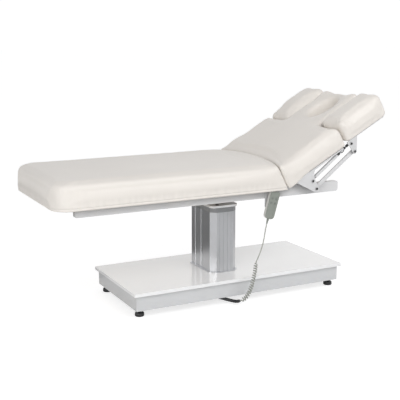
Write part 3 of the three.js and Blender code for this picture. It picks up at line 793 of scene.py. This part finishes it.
def shape_leg_pad(obj):
    """A low crown, folds that follow the crease, and gathers above the hem."""
    co, normals, up, side = surface(obj)
    x, y, z = co.T
    across = arch(np.abs(y), HALF_WIDTH)
    along = np.clip(1 - ((x + 0.34) / 0.66) ** 4, 0, 1)
    crown = 0.004 * across * along * up
    back_off = crease_x(y, LEG_TOP) - x
    folds = -0.0042 * ripple(back_off - 0.046 - 0.012 * across, 0.013)
    folds += 0.0024 * ripple(back_off - 0.078, 0.020)
    folds += -0.0030 * ripple(back_off - 0.118 - 0.03 * across, 0.018)
    folds += 0.0012 * ripple(back_off - 0.160, 0.024)
    reach = smoothstep(across, 0.12, 0.55) * smoothstep(back_off, 0.012, 0.04)
    swell = 0.0015 * noise_at(co, (3.0, 4.0, 3.0))
    low = (1 - smoothstep(z, 0.618, 0.672)) * smoothstep(z, 0.602, 0.612) * side
    gathers = 0.0015 * noise_at(co, (46.0, 46.0, 7.0), 3.1) + 0.0010 * noise_at(co, (18.0, 18.0, 30.0), 8.7)
    drape = 0.0007 * side * noise_at(co, (22.0, 22.0, 5.0), 5.5)
    hem_fold = -0.0034 * ripple(z - 0.6115, 0.0042) * side
    move = crown + folds * reach * up + swell * (up + side * 0.5) + low * gathers + drape + hem_fold
    push(obj, co, normals, move * smoothstep(z, 0.598, 0.604))


NECK = 0.414
NECK_HALF_WIDTH = 0.164
HEAD_END = 0.732
FACE_CENTRE = 0.573
FACE_REACH = (0.100, 0.070)
BACK_POCKET = (0.0285, 0.018)


def make_back_pad():
    """The back cushion in the back section's frame, narrow between the armrests, with the face opening."""
    side = HALF_WIDTH - PAD_INSET
    pocket_top = BACK_POCKET[0]
    outline = filleted([
        (0.0, -side, 0.014), (NECK, -side, 0.024), (NECK, -NECK_HALF_WIDTH, 0.020),
        (HEAD_END, -NECK_HALF_WIDTH, 0.030), (HEAD_END, NECK_HALF_WIDTH, 0.030),
        (NECK, NECK_HALF_WIDTH, 0.020), (NECK, side, 0.024), (0.0, side, 0.014),
    ])
    softness = 1 - 0.72 * (1 - smoothstep(outline[:, 0], 0.008, 0.03))
    softness *= 1 - 0.35 * smoothstep(outline[:, 0], NECK + 0.01, NECK + 0.05)
    levels = edge_levels(0.013, 0.121, 0.036)
    angles = np.linspace(0, 2 * math.pi, 72, endpoint=False)
    hole = np.stack([FACE_CENTRE + FACE_REACH[0] * np.cos(angles), FACE_REACH[1] * np.sin(angles)], 1)
    hole_levels = [(pocket_top, 0.0), (0.05, 0.0), (0.08, 0.0), (0.093, 0.001), (0.105, 0.004),
                   (0.113, 0.009), (0.1185, 0.016), (0.121, 0.025)]
    bm = pad_shell(outline, softness, levels, BACK_POCKET, (hole, hole_levels))
    for v in bm.verts:
        a, y, p = v.co
        roll = 0.022 * math.exp(-((a - 0.004) / 0.045) ** 2) * (0.10 + 0.90 * (abs(y) / HALF_WIDTH) ** 2)
        head = 0.012 * float(smoothstep(a, 0.06, 0.32))
        rim = 0.4 + 0.6 * float(smoothstep(abs(y), 0.05, 0.12))
        head += 0.012 * float(smoothstep(a, 0.62, HEAD_END)) * rim
        far = float(smoothstep(y, 0.12, HALF_WIDTH))
        roll *= 1 - 0.75 * far
        roll += 0.015 * far * math.exp(-((a - 0.11) / 0.075) ** 2)
        skirt = 0.017 * float(smoothstep(abs(y), 0.325, 0.338)) * (1 - float(smoothstep(a, 0.01, 0.17)))
        p -= skirt * (1 - float(smoothstep(p, 0.015, 0.07)))
        p += (roll + head) * float(smoothstep(p, 0.06, 0.12))
        share = 1 - float(smoothstep(a, 0.0, 0.16))
        v.co.x = a + share * (float(crease_along(y, p)) + CREASE_GAP)
        if v.co.x < 0.045 and abs(y) < 0.33 and p < pocket_top:
            p = pocket_top
        v.co.z = p
    return shell_object("back_pad", bm, VOXEL)


def back_held(co):
    """How firmly the cover is held: at its hem, round the face opening and along the crease."""
    low = 1 - smoothstep(co[:, 2], 0.014, 0.052)
    rim = np.hypot((co[:, 0] - FACE_CENTRE) / 0.116, co[:, 1] / 0.086)
    hole = (1 - smoothstep(rim, 1.0, 1.3)) * 0.9
    end = (1 - smoothstep(co[:, 0] - crease_along(co[:, 1], co[:, 2]), 0.01, 0.05)) * 0.6
    return np.maximum(np.maximum(low, hole), end)


def shape_back_pad(obj):
    """A low crown at the torso, a fold beside the crease, gathers above the hem and the neck's ridges."""
    co, normals, up, side = surface(obj)
    a, y, p = co.T
    across = arch(np.abs(y), HALF_WIDTH)
    torso = smoothstep(a, 0.02, 0.16) * (1 - smoothstep(a, 0.34, 0.43))
    crown = 0.004 * across * torso * up
    fold_at = crease_along(y, 0.124) + 0.034 + 0.012 * across
    folds = 0.0014 * ripple(a - fold_at - 0.030, 0.018) - 0.0025 * ripple(a - fold_at, 0.012)
    reach = smoothstep(across, 0.1, 0.5)
    swell = 0.0013 * noise_at(co, (4.0, 4.0, 4.0), 2.2)
    low = (1 - smoothstep(p, 0.03, 0.075)) * smoothstep(p, 0.018, 0.026) * side
    gathers = low * 0.0012 * noise_at(co, (44.0, 44.0, 7.0), 6.1)
    drape = 0.0006 * side * noise_at(co, (20.0, 20.0, 5.0), 1.5)
    strip = 0.0025 * smoothstep(a, 0.42, 0.47) * ripple(np.abs(y) - 0.118, 0.03) * up
    move = crown + folds * reach * up + swell * (up + 0.4 * side) + gathers + drape + strip
    push(obj, co, normals, move * smoothstep(p, 0.014, 0.020))


ARM_START = 0.424
ARM_END = 0.739
ARM_INNER = 0.1745
ARM_OUTER = HALF_WIDTH - 0.003


def make_arm_pad(edge, sign):
    """An armrest cushion in the back section's frame, leaning and falling off towards the foot end."""
    corners = [(ARM_START, ARM_INNER, 0.024), (ARM_END, ARM_INNER, 0.040),
               (ARM_END, ARM_OUTER, 0.052), (ARM_START, ARM_OUTER, 0.022)]
    if sign < 0:
        corners = [(x, -y, r) for x, y, r in reversed(corners)]
    outline = filleted(corners)
    levels = edge_levels(0.026, 0.155, 0.034)
    bm = pad_shell(outline, np.ones(len(outline)), levels, (0.0275, 0.020))
    for v in bm.verts:
        near_start = 1 - float(smoothstep(v.co.x, ARM_START, ARM_START + 0.12))
        lean = float(smoothstep(v.co.z, 0.05, 0.13)) * near_start
        v.co.x -= 0.004 * lean
        slope = 1 - float(smoothstep(v.co.x, ARM_START, ARM_START + 0.15))
        v.co.z -= (0.014 + 0.008 * sign) * slope * float(smoothstep(v.co.z, 0.06, 0.15))
    return shell_object("arm_pad_" + edge, bm, ARM_VOXEL)


def arm_held(co):
    """How firmly the cover is held: at its hem."""
    return 1 - smoothstep(co[:, 2], 0.034, 0.060)


def shape_arm_pad(obj, sign):
    """A low crown, puckers round the outer foot-end corner and gathers above the hem."""
    co, normals, up, side = surface(obj)
    a, y, p = co.T
    mid = arch(np.abs(np.abs(y) - 0.267), 0.094)
    crown = 0.003 * mid * arch(np.abs(a - 0.577), 0.157) * up
    corner = np.hypot(a - 0.432, np.abs(y) - 0.345)
    pucker = -0.0030 * ripple(corner - 0.030, 0.008) * smoothstep(p, 0.07, 0.11)
    pucker += -0.0020 * ripple(corner - 0.055, 0.010) * smoothstep(p, 0.08, 0.12)
    swell = 0.0012 * noise_at(co, (7.0, 7.0, 7.0), 4.4 + sign)
    low = (1 - smoothstep(p, 0.04, 0.085)) * smoothstep(p, 0.030, 0.038) * side
    gathers = low * 0.0012 * noise_at(co, (40.0, 40.0, 8.0), 2.9 + sign)
    move = crown + pucker + swell * (up + 0.5 * side) + gathers
    push(obj, co, normals, move * smoothstep(p, 0.0265, 0.033))


def to_back(obj):
    """Moves a piece from the back section's own frame to its place."""
    obj.data.transform(BACK)
    return obj


def make_cushions():
    """The four cushions, puffed up together, then creased one by one."""
    leg = make_leg_pad()
    back = make_back_pad()
    arms = [(edge, sign, make_arm_pad(edge, sign)) for edge, sign in SIDES]
    pads = [(leg, leg_held, 0.007), (back, back_held, 0.007)]
    pads += [(arm, arm_held, 0.006) for edge, sign, arm in arms]
    puff(pads)
    refine(leg)
    shape_leg_pad(leg)
    refine(back)
    shape_back_pad(back)
    to_back(back)
    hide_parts("leg_cushion", "leg_cushion_fold")
    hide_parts("back_cushion")
    for pad in (leg, back):
        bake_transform(pad)
    for edge, sign, arm in arms:
        refine(arm)
        shape_arm_pad(arm, sign)
        to_back(arm)
        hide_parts(f"armrest_cushion_{edge}")
        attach(arm, f"armrest_{edge}")


# ---- Handset cord ----
# The route of the cord's CAD solids: the straight part from inside the strain relief, the curly part,
# and the tail inside the sleeve.
CORD_RADIUS = 0.003
COIL_RADIUS = 0.0078
COIL_SPREAD = 0.0018
COIL_PITCH = 0.0128
STEPS_PER_TURN = 16
STRAIGHT_STRIDE = 8
CORD_STRAIGHT = [
    (0.1951, -0.330, 0.4305), (0.1902, -0.331, 0.411), (0.1845, -0.334, 0.394), (0.177, -0.338, 0.366),
    (0.169, -0.341, 0.336), (0.160, -0.342, 0.308), (0.151, -0.342, 0.283), (0.141, -0.342, 0.261),
    (0.132, -0.342, 0.244), (0.127, -0.342, 0.234),
]
CORD_COIL = [
    (0.122, -0.342, 0.206), (0.118, -0.342, 0.175), (0.110, -0.342, 0.142),
    (0.099, -0.342, 0.102), (0.083, -0.342, 0.067), (0.066, -0.341, 0.046), (0.051, -0.334, 0.034),
]
CORD_TAIL = [
    (0.043, -0.322, 0.026), (0.034, -0.303, 0.019), (0.025, -0.284, 0.016), (0.007, -0.262, 0.0188),
    (-0.0068, -0.2564, 0.0235),
]
GLAND = [(-0.072, -0.236, 0.046), (-0.045, -0.2445, 0.0367), (-0.008, -0.256, 0.024)]
SLEEVE_RADIUS = 0.0094
SLEEVE_RIBS = 11
GROW_TURNS = 1.5
SHRINK_TURNS = 0.9


def line_length(line):
    """The length along a line of points."""
    return sum((b - a).length for a, b in zip(line, line[1:]))


def nearest(line, place):
    """The index of a line's point that lies nearest to a place."""
    place = Vector(place)
    return min(range(len(line)), key=lambda i: (line[i] - place).length)


def resampled(line, count):
    """The line again, in equal steps."""
    lengths = [0.0]
    for a, b in zip(line, line[1:]):
        lengths.append(lengths[-1] + (b - a).length)
    result = []
    k = 0
    for i in range(count + 1):
        want = lengths[-1] * i / count
        while k < len(line) - 2 and lengths[k + 1] < want:
            k += 1
        span = lengths[k + 1] - lengths[k]
        result.append(line[k].lerp(line[k + 1], (want - lengths[k]) / span))
    return result


def cord_line():
    """The whole cord on one line: straight, then a helix that opens out and closes again, then the tail."""
    route = catmull(CORD_STRAIGHT + CORD_COIL + CORD_TAIL, 40)
    step = COIL_PITCH / STEPS_PER_TURN
    core = resampled(route, round(line_length(route) / step))
    first = nearest(core, CORD_STRAIGHT[-1])
    turns = (nearest(core, CORD_TAIL[0]) - first) // STEPS_PER_TURN
    last = first + turns * STEPS_PER_TURN
    line = []
    normal = Vector((0, 1, 0))
    for i, point in enumerate(core):
        tangent = (core[min(i + 1, len(core) - 1)] - core[max(i - 1, 0)]).normalized()
        normal = (normal - tangent * normal.dot(tangent)).normalized()
        if first <= i <= last:
            side = tangent.cross(normal)
            turn = (i - first) / STEPS_PER_TURN
            grow = min(1.0, turn / GROW_TURNS, (turns - turn) / SHRINK_TURNS)
            radius = (COIL_RADIUS + COIL_SPREAD * turn / turns) * grow * grow * (3 - 2 * grow)
            a = 2 * math.pi * turn
            line.append(point + normal * (radius * math.cos(a)) + side * (radius * math.sin(a)))
        elif i % STRAIGHT_STRIDE == 0 or i == len(core) - 1:
            line.append(point)
    return line


def sleeve_radius(t):
    """The sleeve's radius at a share of its length: ribbed in the middle, rounded off at the cord."""
    radius = SLEEVE_RADIUS - 0.0006 * t - 0.0028 * (max(0.0, t - 0.88) / 0.12) ** 2
    if 0.2 < t < 0.9:
        radius -= 0.0008 * (0.5 + 0.5 * math.cos(2 * math.pi * SLEEVE_RIBS * t))
    return radius


def make_sleeve():
    """The black sleeve that the cord enters, from the base out to the coil."""
    route = catmull(GLAND + CORD_TAIL[3::-1], 8)
    radii = [sleeve_radius(i / (len(route) - 1)) for i in range(len(route))]
    sleeve = new_object("cord_sleeve", *swept(route, radii, sides=16), "black_plastic")
    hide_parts("cord_gland")
    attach(sleeve, "base")
    return sleeve


def make_cord():
    """The handset's cord and its sleeve; the cord runs from the handset down to the base."""
    line = cord_line()
    verts, faces = swept(line, CORD_RADIUS, sides=10)
    cord = new_object("handset_cord", verts, faces, "cord_grey")
    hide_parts("handset_cord_straight", "handset_cord_coil", "handset_cord_tail")
    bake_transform(cord)
    sleeve = make_sleeve()


# ---- Linkages, in the back section's frame: (along, side, height) ----
LOWER_PIVOTS = ((0.141, -0.043), (0.143, -0.094))
UPPER_PIVOTS = ((0.445, 0.006), (0.447, -0.045))
LINK_Y = 0.334
BOLT_Y = 0.354


def place(parts, name, finish, body, in_back=True, smooth=True):
    """Adds a rigid piece that rides on a body."""
    verts, faces = parts
    obj = new_object(name, verts, faces, finish, smooth)
    if in_back:
        to_back(obj)
    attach(obj, body)
    return obj


def bolts(pivots, sign):
    """Black bolt heads with a socket, over the pivot studs."""
    profile = [(-0.0002, 0.0062), (0.0022, 0.0062), (0.0031, 0.0052), (0.0032, 0.0032), (0.0020, 0.0029),
               (0.0019, 0.0004)]
    return merged(*[turned(profile, (along, sign * BOLT_Y, height), (0, sign, 0), 20)
                    for along, height in pivots])


def strut_barrel(start, axis):
    """The white barrel of a gas strut."""
    return turned([(0.026, 0.0040), (0.0265, 0.0084), (0.030, 0.0090), (0.205, 0.0090), (0.2085, 0.0084),
                   (0.209, 0.0030)], start, axis)


def strut_fittings(start, end, axis):
    """The eyes at both ends, the barrel's neck and collar, the clip and the end sleeve."""
    eye = [(-0.0048, 0.0066), (-0.0042, 0.0086), (0.0042, 0.0086), (0.0048, 0.0066)]
    neck = [(0.005, 0.0045), (0.022, 0.0050), (0.026, 0.0070), (0.029, 0.0070)]
    collar = [(0.2092, 0.0060), (0.211, 0.0084), (0.224, 0.0084), (0.227, 0.0060), (0.229, 0.0035)]
    clip = [(0.262, 0.0035), (0.264, 0.0066), (0.270, 0.0070), (0.273, 0.0048)]
    end_sleeve = [(0.278, 0.0040), (0.281, 0.0072), (0.296, 0.0072), (0.301, 0.0046),
                  ((end - start).length - 0.004, 0.0042)]
    across = (0, 1, 0)
    return merged(turned(eye, start, across), turned(eye, end, across), turned(neck, start, axis),
                  turned(collar, start, axis), turned(clip, start, axis), turned(end_sleeve, start, axis))


def release_ring(start, axis):
    """The oval wire ring that unlocks the strut."""
    centre = start + axis * 0.247
    across = Vector((-axis.z, 0, axis.x))
    steps = 28
    ring = []
    for k in range(steps):
        a = 2 * math.pi * k / steps
        ring.append(centre + axis * (0.0155 * math.cos(a)) + across * (0.0105 * math.sin(a)))
    return swept(ring, 0.0022, sides=8, closed=True)


def make_struts():
    """The gas struts and the bolt heads over all pivots, on both sides."""
    for edge, sign in SIDES:
        y = sign * LINK_Y
        start = Vector((LOWER_PIVOTS[0][0], y, LOWER_PIVOTS[0][1]))
        end = Vector((UPPER_PIVOTS[0][0], y, UPPER_PIVOTS[0][1]))
        axis = (end - start).normalized()
        body = f"arm_strut_{edge}"
        barrel = place(strut_barrel(start, axis), f"strut_barrel_{edge}", "white_paint", body)
        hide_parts(f"arm_gas_strut_{edge}")
        place(strut_fittings(start, end, axis), f"strut_fittings_{edge}", "black_plastic", body)
        rod = turned([(0.222, 0.0036), (0.285, 0.0036)], start, axis)
        place(rod, f"strut_rod_{edge}", "steel", body)
        place(release_ring(start, axis), f"strut_release_{edge}", "black_plastic", body)
        place(bolts(LOWER_PIVOTS, sign), f"lower_bolts_{edge}", "black_plastic", "back")
        place(bolts(UPPER_PIVOTS, sign), f"upper_bolts_{edge}", "black_plastic", f"armrest_{edge}")


# ---- Feet, column trim and screws ----
def make_feet():
    """Round levelling feet on threaded stems."""
    profile = [(0.0, 0.0205), (0.0012, 0.0228), (0.004, 0.0240), (0.014, 0.0240), (0.0175, 0.0232),
               (0.0205, 0.0205), (0.022, 0.0150), (0.024, 0.0092), (0.030, 0.0066), (0.0665, 0.0062),
               (0.067, 0.0105), (0.0755, 0.0108)]
    clearance = 0.0003
    for edge, sign in SIDES:
        for end in ("foot", "head"):
            node = f"levelling_foot_{edge}_{end}"
            low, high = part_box(node)
            middle = ((low.x + high.x) / 2, (low.y + high.y) / 2, clearance)
            foot = place(turned(profile, middle, (0, 0, 1), 32), f"pad_foot_{edge}_{end}", "black_plastic",
                         "base", in_back=False)
            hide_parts(node)


CHAMFER = 0.028
CHAMFER_GROWTH = 0.59


def octagon(half_x, half_y, chamfer, centre_x, z):
    """A rectangle with cut corners, at a height."""
    x0, x1 = centre_x - half_x, centre_x + half_x
    return [(x0 + chamfer, -half_y, z), (x1 - chamfer, -half_y, z), (x1, -half_y + chamfer, z),
            (x1, half_y - chamfer, z), (x1 - chamfer, half_y, z), (x0 + chamfer, half_y, z),
            (x0, half_y - chamfer, z), (x0, -half_y + chamfer, z)]


def ring_band(profile, half_x, half_y, centre_x):
    """A band around the column from (outset, height) pairs going round its section."""
    verts, faces = [], []
    for outset, z in profile:
        verts += octagon(half_x + outset, half_y + outset, CHAMFER + outset * CHAMFER_GROWTH, centre_x, z)
    count = len(profile)
    for i in range(count):
        j = (i + 1) % count
        for k in range(8):
            m = (k + 1) % 8
            faces.append((i * 8 + k, i * 8 + m, j * 8 + m, j * 8 + k))
    return verts, faces


def make_trim():
    """The band round the column's foot, and the flange's two screws in view."""
    low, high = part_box("column_outer")
    centre_x = (low.x + high.x) / 2
    half_x, half_y = (high.x - low.x) / 2, (high.y - low.y) / 2
    base_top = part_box("base_top_plate")[1].z
    trim_profile = [(0.0004, base_top + 0.0002), (0.009, base_top + 0.0002), (0.009, base_top + 0.0032),
                    (0.0078, base_top + 0.0044), (0.0004, base_top + 0.0044)]
    foot = ring_band(trim_profile, half_x, half_y, centre_x)
    place(foot, "column_foot_trim", "aluminium", "base", in_back=False, smooth=False)
    flange_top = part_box("column_top_flange")[1].z
    screw_profile = [(-0.0002, 0.0098), (0.0022, 0.0096), (0.0032, 0.0080), (0.0034, 0.0045),
                     (0.0022, 0.0042), (0.0022, 0.0003)]
    screws = []
    for sign in (-1, 1):
        spot = (centre_x + sign * 0.038, sign * 0.114, flange_top)
        screws.append(turned(screw_profile, spot, (0, 0, 1), 20))
    place(merged(*screws), "flange_screws", "black_plastic", "chassis", in_back=False)


dress_cad_nodes()
make_camera()
make_cord()
make_stage()
make_cushions()
make_struts()
make_feet()
make_trim()
